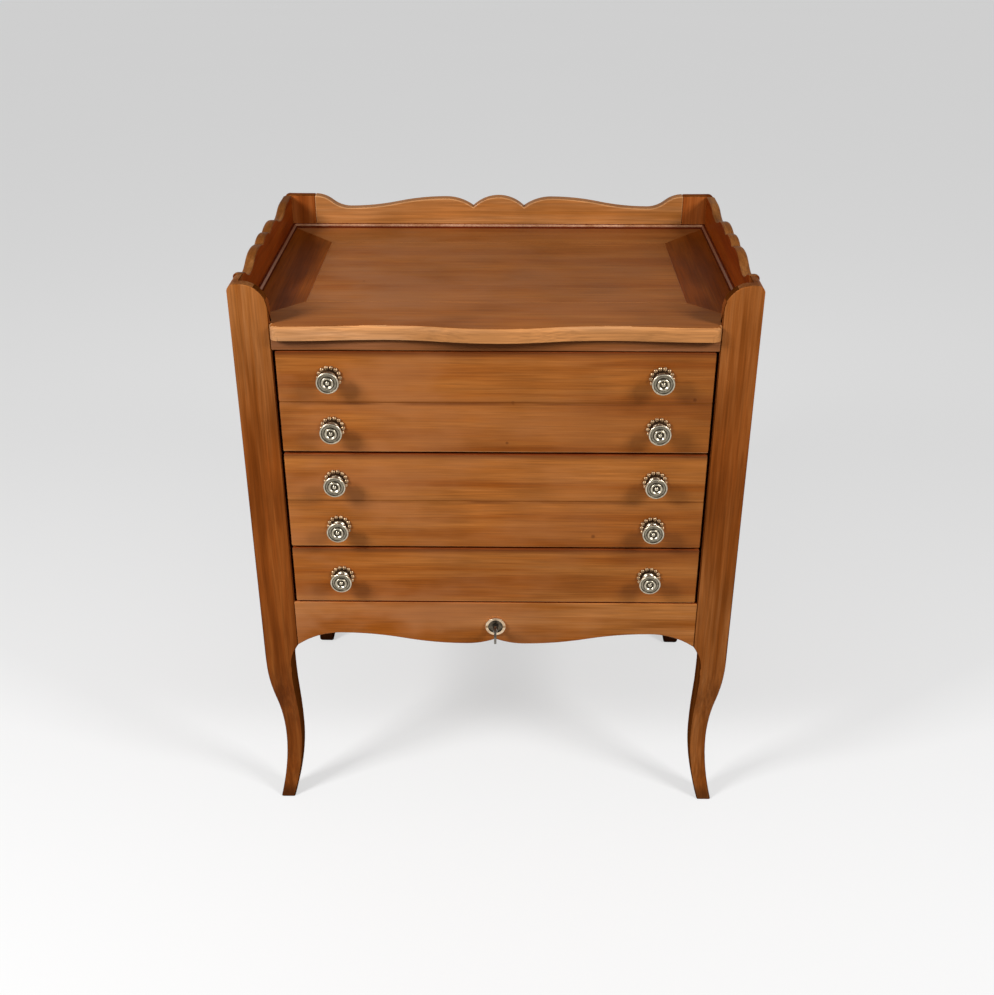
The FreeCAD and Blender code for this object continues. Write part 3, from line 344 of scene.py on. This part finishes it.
# Strips of cherry round the foot of the gallery, scraped to a quarter round: a painted highlight on the
# round, and painted shade with some grime on both sides of it. The side strips are darker, in painted shade.
BEAD_HIGHLIGHT_WOOD = planed_wood("cherry_beads_painted_highlight", "y", ("#a9744f", "#bd8a68", "#cf9f80"), (0.2, 0.3),
                          gloss=0.5, shift=1.7)
SHADED_SIDE_BEAD_HIGHLIGHT_WOOD = planed_wood("cherry_side_beads_painted_highlight_in_shade", "y", ("#6b422e", "#7b513d", "#8b624c"), (0.3, 0.4),
                               gloss=0.3, shift=1.1)
BEAD_SHADE_AND_GRIME_WOOD = planed_wood("cherry_bead_sides_shade_and_grime", "x", ("#4a1806", "#5a2009", "#6a2b0e"), GRIMY, gloss=0.05,
                         shift=6.3)
# The top rail and the front apron of planed cherry: the rail dull and painted darker for the shade of the
# top, the apron pale, with milky patches and painted light paler to the left.
RAIL_WOOD = planed_wood("waxed_cherry_top_rail", "x", ("#733e15", "#8a5530", "#9a6648"), gloss=0.05,
                        shift=3.9, streak=0.6)
APRON_WOOD = planed_wood("waxed_cherry_apron", "x", ("#944f16", "#af6d34", "#c4834e"), gloss=0.05, shift=3.3,
                         streak=0.6, haze="#b87d52")
# Edges of the fronts, rail and apron along the gaps: sawn cherry, stained and never polished, and matt; their
# red-brown is partly the wood and partly painted shade of the gaps.
CUT_EDGE_SHADE_WOOD = planed_wood("cut_cherry_edges_painted_shade", "x", ("#7d3410", "#8d4218", "#9d5222"), GRIMY, gloss=0.05,
                       shift=6.9)
# The upper slope of the scored lines, cut with a scratch stock: it faces down and is painted dark, a painted
# shade.
SCORE_SHADE_WOOD = planed_wood("scored_cherry_line_painted_shade", "x", ("#5f2c0a", "#7d4417", "#98602c"), GRIMY, gloss=0.05,
                         shift=8.5, streak=1.0)
# Drawer fronts of planed and waxed cherry, each from its own board: warm orange bands, milky patches with
# painted light paler to the left, pin knots, painted shade under the upper edge and a pale lower arris,
# partly worn where fingers pull and partly a painted highlight.
FRONT_TONES = {
    "top": ("#80400d", "#995821", "#ab6c34"),
    "middle": ("#8d4911", "#a66329", "#ba783f"),
    "bottom": ("#8d4911", "#a76429", "#bb793e"),
}
FRONT_SHIFT = {"top": 20.8, "middle": 24.7, "bottom": 24.7}
FRONT_KNOTS = [((0.0185, FRONT, 0.5403), 2.2), ((0.0124, FRONT, 0.4938), 1.8), ((0.2084, FRONT, 0.5446), 2.2),
               ((0.108, FRONT, 0.3795), 2.6)]
FRONT_WOODS = {}
for drawer, tones in FRONT_TONES.items():
    low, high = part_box(f"{drawer}_drawer_front")
    FRONT_WOODS[drawer] = planed_wood(
        f"waxed_cherry_{drawer}_front", "x", tones, shift=FRONT_SHIFT[drawer], streak=0.6, haze="#ab6d40",
        knots=FRONT_KNOTS, top_edge=high.z, score=None if drawer == "bottom" else (low.z + high.z) / 2)
FRONT_ARRIS_WOOD = planed_wood("waxed_cherry_fronts_x_arris", "x", ("#9f5e26", "#b2723a", "#b2723a"), RUBBED,
                               gloss=0.4, shift=2.96)
# Drawer boxes, runners and stops of poplar left bare from the plane: pale yellow-brown and matt.
BOX_TONES = ("#a98455", "#bd996b", "#ceaf82")
BOX_SIDE_WOOD = board("bare_poplar_boxes_y", "y", BOX_TONES, BARE, shift=3.33)
BOX_WOOD = board("bare_poplar_boxes_x", "x", BOX_TONES, BARE, shift=3.7)


# Metals

SPOT_MM = 4


def aged_metal(name, tone, tarnish, rough):
    """Old metal, polished by hands and dulled by air: soft reflections under spots of tarnish."""
    made, tree, shader = new_material(name)
    place = node(tree, "ShaderNodeTexCoord").outputs["Object"]
    spots = node(tree, "ShaderNodeTexNoise", {
        "Vector": place, "Scale": 1000 / SPOT_MM, "Detail": 4, "Roughness": 0.6}).outputs["Fac"]
    share = node(tree, "ShaderNodeMapRange", {
        "Value": spots, "From Min": 0.42, "From Max": 0.72, "To Max": 0.8}).outputs["Result"]
    colour = node(tree, "ShaderNodeMix", {
        "Factor": share, 6: linear(tone), 7: linear(tarnish)}, data_type="RGBA").outputs[2]
    tree.links.new(colour, shader.inputs["Base Color"])
    dull = node(tree, "ShaderNodeMapRange", {
        "Value": spots, "From Min": 0.35, "From Max": 0.75, "To Min": rough,
        "To Max": rough + 0.2}).outputs["Result"]
    tree.links.new(dull, shader.inputs["Roughness"])
    bump = node(tree, "ShaderNodeBump", {
        "Height": spots, "Strength": 0.1, "Distance": 0.2 * MM}).outputs["Normal"]
    tree.links.new(bump, shader.inputs["Normal"])
    shader.inputs["Metallic"].default_value = 1
    return made


# Knobs of turned brass, silvered and rubbed by hands: warm pale silver with clear soft highlights.
KNOB_METAL = aged_metal("silvered_brass_knobs", "#d0c6b0", "#988c77", 0.24)
# The sunk band round a knob's face, which hands hardly touch: the silver is grey and its highlights are wide.
BAND_METAL = aged_metal("dulled_silver_bands", "#978e7c", "#645b4d", 0.34)
# The turned grooves of a knob, filled with tarnish: dark lines between the rings.
HOLLOW_METAL = aged_metal("tarnished_silver_hollows", "#4a4338", "#2b251d", 0.42)
# Cast brass beads whose silver has worn off: brownish yellow with small dull highlights.
PLATE_METAL = aged_metal("aged_brass_beads", "#b99b78", "#6b5138", 0.4)
# The plates between the beads, cast brass that no cloth reaches: brown with tarnish and nearly matt, darkened
# further as painted shade under the knob heads.
SHADED_PLATE_BRASS = aged_metal("tarnished_brass_plates_painted_shade", "#3c291a", "#251810", 0.5)
# The rolled rim of the escutcheon, brass polished by fingers at the key: bright and warm.
RIM_METAL = aged_metal("polished_brass_rim", "#ead2b2", "#b99773", 0.3)
# The hollow of the escutcheon, stamped plate gone dark: grey-brown with black spots.
LOCK_METAL = aged_metal("tarnished_lock_plate", "#6b6152", "#1d1610", 0.3)
# Filed steel of the key, lock and screws, worn and dry: mid grey with brown-grey spots.
STEEL = aged_metal("worn_steel", "#8a857c", "#4a453e", 0.3)


# Rounded copies of the solids

# Edges sharper than the first angle are arrises. Faces that meet at less than the others are shaded as one
# curve.
SHARP = math.radians(38)
CURVED = math.radians(50)
TURNED = math.radians(60)


def only(piece):
    """Selects one piece and nothing else."""
    bpy.ops.object.select_all(action="DESELECT")
    piece.select_set(True)
    bpy.context.view_layer.objects.active = piece


def finish(piece, name):
    """Lets a piece stand for a CAD node and ride with it."""
    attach(piece, BODY_OF[name])
    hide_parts(name)


def paint(piece, pick):
    """Gives each face of a piece the material that pick names for it."""
    used = piece.data.materials
    for face in piece.data.polygons:
        material = pick(face, [piece.data.vertices[number].co for number in face.vertices])
        if used.find(material.name) < 0:
            used.append(material)
        face.material_index = used.find(material.name)


def eased(name, arris, flat, worn=None, wide=0.0, chosen=None, pick=None, shortest=1.5):
    """A copy of a CAD node with its sharp arrises rubbed round, the rounds in the worn material, which on
    plain boards is paler partly for wear and partly as a painted highlight. Radii are in mm: arrises that
    chosen picks get the wide one. Where pick is given, it names the material of each face. Edges under the
    shortest length, as round the bores, stay sharp."""
    piece = bpy.data.objects.new(f"{name}_eased", frame["nodes"][name].data.copy())
    bpy.context.scene.collection.objects.link(piece)
    piece.data.materials.clear()
    for material in (flat, worn or flat):
        piece.data.materials.append(material)
    only(piece)
    bpy.ops.object.mode_set(mode="EDIT")
    bpy.ops.mesh.select_all(action="SELECT")
    bpy.ops.mesh.remove_doubles(threshold=0.01 * MM)
    bpy.ops.mesh.dissolve_limited(angle_limit=math.radians(0.5))
    shape = bmesh.from_edit_mesh(piece.data)
    weights = shape.edges.layers.float.new("bevel_weight_edge")
    widest = max(arris, wide)
    for edge in shape.edges:
        sharp = len(edge.link_faces) == 2 and edge.calc_face_angle() > SHARP
        if not sharp or edge.calc_length() <= shortest * MM:
            continue
        if chosen and chosen((edge.verts[0].co + edge.verts[1].co) / 2, edge.verts[0].co - edge.verts[1].co):
            edge[weights] = 1.0
        elif edge.is_convex:
            edge[weights] = arris / widest
    bmesh.update_edit_mesh(piece.data)
    bpy.ops.object.mode_set(mode="OBJECT")
    rounding = piece.modifiers.new("rounding", "BEVEL")
    rounding.width = widest * MM
    rounding.segments = 4 if wide else 3
    rounding.limit_method = "WEIGHT"
    rounding.use_clamp_overlap = shortest == 0
    rounding.material = 1
    bpy.ops.object.modifier_apply(modifier="rounding")
    if pick:
        paint(piece, pick)
    bpy.ops.object.shade_smooth_by_angle(angle=CURVED)
    even = piece.modifiers.new("even", "WEIGHTED_NORMAL")
    even.mode = "FACE_AREA"
    even.keep_sharp = True
    bpy.ops.object.modifier_apply(modifier="even")
    finish(piece, name)


def leg_or_corner(middle, run):
    """The four long arrises of a leg, and the outer front arris of its post."""
    if abs(run.z) < 0.5 * run.length:
        return False
    return 4 * MM < middle.z < LEG_TOP or (abs(middle.x) > OUTER_FACE and middle.y < FRONT + 1 * MM)


def rear_leg(middle, run):
    """The long arrises of a rear leg and the edges of its foot."""
    return middle.z < 1 * MM or leg_or_corner(middle, run)


def gallery_top(middle, run):
    """The outer upper arris of a side gallery."""
    return abs(middle.x) > OUTER_FACE and middle.z > GALLERY_FOOT and abs(run.y) > 0.3 * run.length


def post_face(name):
    """Names the wood of each face of a front post: matt and painted darker where it faces the drawers, the
    other leg or the back, and painted dark on its outer rounds, all as painted shade."""
    side = 1 if "right" in name else -1

    def pick(face, corners):
        outward = face.normal.x * side
        # Painted shade: faces that lie in shade take darker copies of the post wood.
        if face.normal.y > 0.5 or (outward < -0.9 and face.center.z > APRON_FOOT):
            return SHADED_INNER_WOOD
        if outward < -0.5:
            return SHADED_LEG_SIDE_WOOD
        return POST_ROUND_SHADE_WOOD if 0.6 < outward < 0.98 and face.center.z < CROWN_FOOT else POST_WOOD

    return pick


def front_face(name, flat):
    """Names the wood of each face of a drawer front: its cut edges, partly in painted shade, the upper slope
    of its scored line in painted shade, the lower arris, partly worn and partly a painted highlight, and the
    flat wood on all the rest."""
    low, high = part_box(name)
    line = (low.z + high.z) / 2

    def pick(face, corners):
        normal = face.normal
        # Painted shade on the upper slope of the scored line, which faces down.
        if abs(face.center.z - line) < 2 * MM and normal.y < -0.2:
            return SCORE_SHADE_WOOD if normal.z < -0.3 else flat
        # Cut edges along the gaps, partly in painted shade.
        if max(abs(normal.x), abs(normal.z)) > 0.95:
            return CUT_EDGE_SHADE_WOOD
        # The lower arris: partly worn, partly a painted highlight.
        return FRONT_ARRIS_WOOD if normal.z < -0.2 else flat

    return pick


def apron_face(face, corners):
    """Names the wood of each face of the front apron, whose upper edge lies under the bottom drawer."""
    # The upper edge in the gap takes the wood that is partly painted shade.
    return CUT_EDGE_SHADE_WOOD if face.normal.z > 0.9 else APRON_WOOD


def rail_face(face, corners):
    """Names the wood of each face of the top rail, whose lower edge lies over the top drawer."""
    # The lower edge in the gap takes the wood that is partly painted shade.
    return CUT_EDGE_SHADE_WOOD if face.normal.z < -0.9 else RAIL_WOOD


def top_border_face(face, corners):
    """Names the wood of each face of the top's front border, whose shaped edge is paler: partly rubbed,
    partly painted light.
    """
    return EDGE_WOOD if face.normal.y < -0.35 else TOP_WOOD[0]


def gallery_face(face, corners):
    """Names the wood of each face of a side gallery: painted light on faces that look up, painted shade on
    the rest.
    """
    return LIT_GALLERY_TOP_WOOD if face.normal.z > 0.4 else SHADED_SIDE_GALLERY_WOOD


def bead_face(bright):
    """Names the wood of each face of a strip at the gallery's foot: a painted highlight on the round, and
    painted shade with some grime beside it."""
    return lambda face, corners: bright if 0.35 < face.normal.z < 0.88 else BEAD_SHADE_AND_GRIME_WOOD


def rim_face(face, corners):
    """Names the metal of each face of the escutcheon: a bright rim round a dark hollow."""
    reach = max(math.hypot(place.x, place.z - KEY_LEVEL) for place in corners)
    return LOCK_METAL if reach < RIM_INSIDE else RIM_METAL


# How far the arrises of each slot's pieces are rubbed round, in mm.
ARRIS = {"front_wood": 1.2, "post_wood": 1.4, "side_wood": 1.0, "gallery_wood": 1.3, "bead_wood": 0.5,
         "board_wood": 0.3, "border_wood": 0.3, "back_wood": 0.8, "inner_wood": 0.8}
METAL_ARRIS = 0.9
# The same for the arrises that hands and feet have rubbed more.
FRONT_LEG_ROUND = 2.2
REAR_LEG_ROUND = 4.0
GALLERY_ROUND = 4.0
# The woods of plain boards, by slot and the axis of their grain.
BOARDS = {
    ("side_wood", "z"): SIDE_WOOD, ("side_wood", "y"): SIDE_APRON_WOOD,
    ("back_wood", "z"): BACK_WOOD, ("back_wood", "x"): REAR_RAIL_WOOD,
    ("gallery_wood", "x"): BACK_GALLERY_WOOD, ("board_wood", "x"): TOP_WOOD,
    ("border_wood", "y"): BORDER_WOOD, ("inner_wood", "y"): BOX_SIDE_WOOD, ("inner_wood", "x"): BOX_WOOD,
}
for name, slot in SLOT_OF.items():
    arris = ARRIS.get(slot, METAL_ARRIS)
    if slot == "post_wood" and name.startswith("rear"):
        eased(name, arris, REAR_WOOD, wide=REAR_LEG_ROUND, chosen=rear_leg)
    elif slot == "post_wood":
        eased(name, arris, POST_WOOD, POST_ROUND_SHADE_WOOD, wide=FRONT_LEG_ROUND, chosen=leg_or_corner,
              pick=post_face(name))
    elif name == "front_apron":
        eased(name, arris, APRON_WOOD, pick=apron_face)
    elif name == "top_rail":
        eased(name, arris, RAIL_WOOD, pick=rail_face)
    elif name == "top_front_border":
        eased(name, arris, TOP_WOOD[0], EDGE_WOOD, pick=top_border_face)
    elif name.endswith("drawer_front"):
        flat = FRONT_WOODS[name.split("_")[0]]
        eased(name, arris, flat, FRONT_ARRIS_WOOD, pick=front_face(name, flat))
    elif name in ("left_gallery", "right_gallery"):
        eased(name, arris, SHADED_SIDE_GALLERY_WOOD, LIT_GALLERY_TOP_WOOD, wide=GALLERY_ROUND, chosen=gallery_top,
              pick=gallery_face)
    elif slot == "bead_wood":
        # The back strip has the brighter painted highlight; the side strips a darker one for the shade they
        # lie in.
        bright = BEAD_HIGHLIGHT_WOOD if name == "back_bead" else SHADED_SIDE_BEAD_HIGHLIGHT_WOOD
        eased(name, arris, BEAD_SHADE_AND_GRIME_WOOD, bright, pick=bead_face(bright))
    elif slot in ARRIS:
        grain = "z" if name.endswith("panel") else "y" if "left" in name or "right" in name else "x"
        eased(name, arris, *BOARDS[slot, grain])
    elif name == "escutcheon":
        eased(name, arris, RIM_METAL, LOCK_METAL, pick=rim_face, shortest=0)
    elif name == "key":
        eased(name, arris, STEEL, shortest=0)
    else:
        metals = frame["nodes"][name].data.materials
        metals.clear()
        metals.append(PLATE_METAL if slot == "aged_brass" else STEEL)


# Knobs and beaded plates

# Turned shapes as (radius, reach from the drawer front) in mm, from the drawer outwards.
KNOB = [
    (7.6, 2.2), (7.5, 2.9), (6.6, 3.8), (5.2, 5.1), (4.4, 6.6), (4.2, 8.2), (4.6, 9.6), (6.2, 11.1),
    (8.8, 12.3), (10.8, 13.2), (11.7, 13.9), (12.0, 14.7), (12.0, 15.4), (11.8, 16.0), (11.3, 16.4),
    (10.8, 16.5), (10.3, 16.35), (9.9, 15.9), (9.5, 15.5), (8.9, 15.4), (8.3, 15.6), (7.9, 15.75),
    (7.5, 15.6), (7.1, 15.45), (6.85, 15.6), (6.7, 16.2), (6.55, 16.9), (6.2, 17.45), (5.7, 17.7),
    (5.2, 17.55), (4.7, 17.1), (4.2, 16.5), (3.6, 16.1), (2.9, 15.95), (2.4, 16.0), (2.2, 16.4),
    (2.0, 16.95), (1.55, 17.4), (0.8, 17.65), (0.05, 17.7),
]
PLATE = [(10.9, 0.05), (11.2, 0.5), (11.0, 1.1), (10.2, 1.5), (9.2, 1.6), (8.8, 1.9), (8.4, 2.15),
         (0.05, 2.2)]
SIDES = 48
KNOB_RADIUS = 12
# The dull band and the tarnished grooves on the face of a knob: inner and outer radius in mm, and metal.
FACE_REACH = 14
FACE_RINGS = [(7.3, 9.4, BAND_METAL), (9.4, 10.2, HOLLOW_METAL), (6.75, 7.3, HOLLOW_METAL),
              (2.3, 4.0, HOLLOW_METAL)]
# Beads round a plate in mm: their own radius, the ring they stand on, and how far their middles stand out.
BEADS = 14
BEAD_RADIUS = 2.3
BEAD_RING = 11.4
BEAD_REACH = 0.7
BEAD_DEPTH = 0.85  # share of a round bead's depth


def turned(name, profile, metal):
    """A piece turned about an axis that runs out of the drawer front, drawn out ring after ring from a
    disc."""
    bpy.ops.object.select_all(action="DESELECT")
    radius, reach = profile[0]
    bpy.ops.mesh.primitive_circle_add(vertices=SIDES, radius=radius * MM, fill_type="NGON",
                                      location=(0, -reach * MM, 0), rotation=(math.pi / 2, 0, 0))
    piece = bpy.context.object
    piece.name = name
    piece.data.materials.append(metal)
    bpy.ops.object.transform_apply(location=True, rotation=True, scale=True)
    bpy.ops.object.mode_set(mode="EDIT")
    bpy.ops.mesh.select_all(action="SELECT")
    for next_radius, next_reach in profile[1:]:
        bpy.ops.mesh.extrude_region_move(TRANSFORM_OT_translate={"value": (0, (reach - next_reach) * MM, 0)})
        share = next_radius / radius
        bpy.ops.transform.resize(value=(share, 1, share), center_override=(0, -next_reach * MM, 0))
        radius, reach = next_radius, next_reach
    bpy.ops.mesh.select_all(action="SELECT")
    bpy.ops.mesh.normals_make_consistent(inside=False)
    bpy.ops.object.mode_set(mode="OBJECT")
    bpy.ops.object.shade_smooth_by_angle(angle=TURNED)
    return piece


def knob_face(face, corners):
    """Names the metal of each face of a knob."""
    radius = math.hypot(face.center.x, face.center.z) / MM
    for inner, outer, metal in FACE_RINGS:
        if face.center.y < -FACE_REACH * MM and inner < radius < outer:
            return metal
    return KNOB_METAL


def bead(turn):
    """A bead on the rim of a plate, a little flat and cut off at the drawer front."""
    bpy.ops.object.select_all(action="DESELECT")
    bpy.ops.mesh.primitive_ico_sphere_add(
        subdivisions=3, radius=BEAD_RADIUS * MM,
        location=(BEAD_RING * MM * math.sin(turn), -BEAD_REACH * MM, BEAD_RING * MM * math.cos(turn)))
    piece = bpy.context.object
    piece.data.materials.append(PLATE_METAL)
    bpy.ops.object.transform_apply(location=True, rotation=True, scale=True)
    bpy.ops.object.mode_set(mode="EDIT")
    bpy.ops.mesh.select_all(action="SELECT")
    bpy.ops.transform.resize(value=(1, BEAD_DEPTH, 1), center_override=(0, -BEAD_REACH * MM, 0))
    bpy.ops.mesh.select_all(action="SELECT")
    bpy.ops.mesh.bisect(plane_co=(0, -0.02 * MM, 0), plane_no=(0, 1, 0), clear_outer=True, use_fill=True)
    bpy.ops.object.mode_set(mode="OBJECT")
    bpy.ops.object.shade_smooth_by_angle(angle=TURNED)
    return piece


def spread(pattern, name, places):
    """One piece made of copies of a pattern, set on the drawer front at its knob places."""
    copies = []
    for place in places:
        copy = pattern.copy()
        copy.data = pattern.data.copy()
        bpy.context.scene.collection.objects.link(copy)
        copy.location = place
        copies.append(copy)
    only(copies[0])
    for copy in copies:
        copy.select_set(True)
    bpy.ops.object.join()
    joined = bpy.context.object
    joined.name = name
    bpy.ops.object.transform_apply(location=True, rotation=True, scale=True)
    return joined


knob = turned("knob_pattern", KNOB, KNOB_METAL)
paint(knob, knob_face)
plate = turned("plate_pattern", PLATE, SHADED_PLATE_BRASS)
beads = [bead(math.tau * (count + 0.5) / BEADS) for count in range(BEADS)]
only(plate)
for item in beads:
    item.select_set(True)
bpy.ops.object.join()
for drawer in FRONT_TONES:
    low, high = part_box(f"{drawer}_drawer_knobs")
    reach = (high.x - low.x) / 2 - KNOB_RADIUS * MM
    levels = [low.z + KNOB_RADIUS * MM, high.z - KNOB_RADIUS * MM]
    if drawer == "bottom":
        levels = [(low.z + high.z) / 2]
    spots = [(side * reach, FRONT, level) for level in levels for side in (-1, 1)]
    finish(spread(knob, f"{drawer}_drawer_knobs_turned", spots), f"{drawer}_drawer_knobs")
    finish(spread(plate, f"{drawer}_drawer_plates_beaded", spots), f"{drawer}_drawer_knob_plates")
for pattern in (knob, plate):
    bpy.data.objects.remove(pattern)


# Stage, light and camera

WHITE = (1, 1, 1, 1)
FLOOR_SIZE = 14
FLOOR_MIDDLE = (0, 3, 0)
PAPER_GLOW = 0.55
PAPER_CLOUD_MM = 1250
WORLD_FILL = 0.18
# Two square soft boxes, left and right of the chest, that face its front: place in metres and power in watts.
LAMPS = {"left_box": ((-1.3, -0.97, 1.45), 31.5), "right_box": ((1.3, -0.97, 1.45), 23.8)}
LAMP_SIZE = 0.48
LAMP_AIM = (0, -0.1, 0.45)
# The camera as fitted to the straight edges of the chest: focal length and frame in pixels, place, tilt and
# turn.
FOCAL_PX = 1248.754
FRAME_PX = 995
SENSOR_MM = 36
CAMERA_PLACE = (0.014905, -1.366276, 1.071075)
CAMERA_DOWN = 0.4924
CAMERA_TURN = 0.011


def seen(tree):
    """One where the camera, a reflection or glass looks at a background, and nought where it lights the
    chest."""
    rays = node(tree, "ShaderNodeLightPath").outputs
    looks = node(tree, "ShaderNodeMath", {
        0: rays["Is Camera Ray"], 1: rays["Is Glossy Ray"]}, operation="MAXIMUM").outputs[0]
    return node(tree, "ShaderNodeMath", {0: looks, 1: rays["Is Transmission Ray"]},
                operation="MAXIMUM").outputs[0]


bpy.ops.object.select_all(action="DESELECT")
bpy.ops.mesh.primitive_plane_add(size=FLOOR_SIZE, location=FLOOR_MIDDLE)
floor = bpy.context.object
floor.name = "studio_floor"
bpy.ops.object.transform_apply(location=True, rotation=True, scale=True)
# Matt paper rolled out flat: an even pale grey with the faintest clouds, and no shine.
paper, tree, shader = new_material("studio_paper")
grey = node(tree, "ShaderNodeTexNoise", {
    "Vector": node(tree, "ShaderNodeTexCoord").outputs["Object"],
    "Scale": 1000 / PAPER_CLOUD_MM}).outputs["Fac"]
tone = node(tree, "ShaderNodeMix", {
    "Factor": grey, 6: linear("#9c9c9c"), 7: linear("#a2a2a2")}, data_type="RGBA").outputs[2]
tree.links.new(tone, shader.inputs["Base Color"])
shader.inputs["Roughness"].default_value = 0.9
glow = node(tree, "ShaderNodeMath", {0: seen(tree), 1: PAPER_GLOW}, operation="MULTIPLY").outputs[0]
tree.links.new(glow, shader.inputs["Emission Strength"])
shader.inputs["Emission Color"].default_value = WHITE
floor.data.materials.append(paper)

world = bpy.data.worlds.new("studio")
bpy.context.scene.world = world
world.use_nodes = True
tree = world.node_tree
backdrop = next(item for item in tree.nodes if item.type == "BACKGROUND")
rise = node(tree, "ShaderNodeSeparateXYZ", {
    "Vector": node(tree, "ShaderNodeTexCoord").outputs["Generated"]}).outputs["Z"]
wall = node(tree, "ShaderNodeMapRange", {
    "Value": rise, "From Min": 0.04, "From Max": 0.36, "To Min": 0.6, "To Max": 0.12}).outputs["Result"]
strength = node(tree, "ShaderNodeMix", {"Factor": seen(tree), 2: WORLD_FILL, 3: wall}).outputs[0]
tree.links.new(strength, backdrop.inputs["Strength"])
backdrop.inputs["Color"].default_value = WHITE

for name, (place, power) in LAMPS.items():
    box = bpy.data.lights.new(name, "AREA")
    box.energy = power
    box.size = LAMP_SIZE
    lamp = bpy.data.objects.new(name, box)
    lamp.location = place
    lamp.rotation_euler = (Vector(LAMP_AIM) - lamp.location).to_track_quat("-Z", "Y").to_euler()
    bpy.context.scene.collection.objects.link(lamp)

eye = bpy.data.cameras.new("camera")
eye.sensor_width = SENSOR_MM
eye.lens = FOCAL_PX * SENSOR_MM / FRAME_PX
camera = bpy.data.objects.new("camera", eye)
camera.location = CAMERA_PLACE
camera.rotation_euler = (math.pi / 2 - CAMERA_DOWN, 0, CAMERA_TURN)
bpy.context.scene.collection.objects.link(camera)
bpy.context.scene.camera = camera
bpy.context.scene.view_settings.view_transform = "Standard"

bpy.context.view_layer.update()
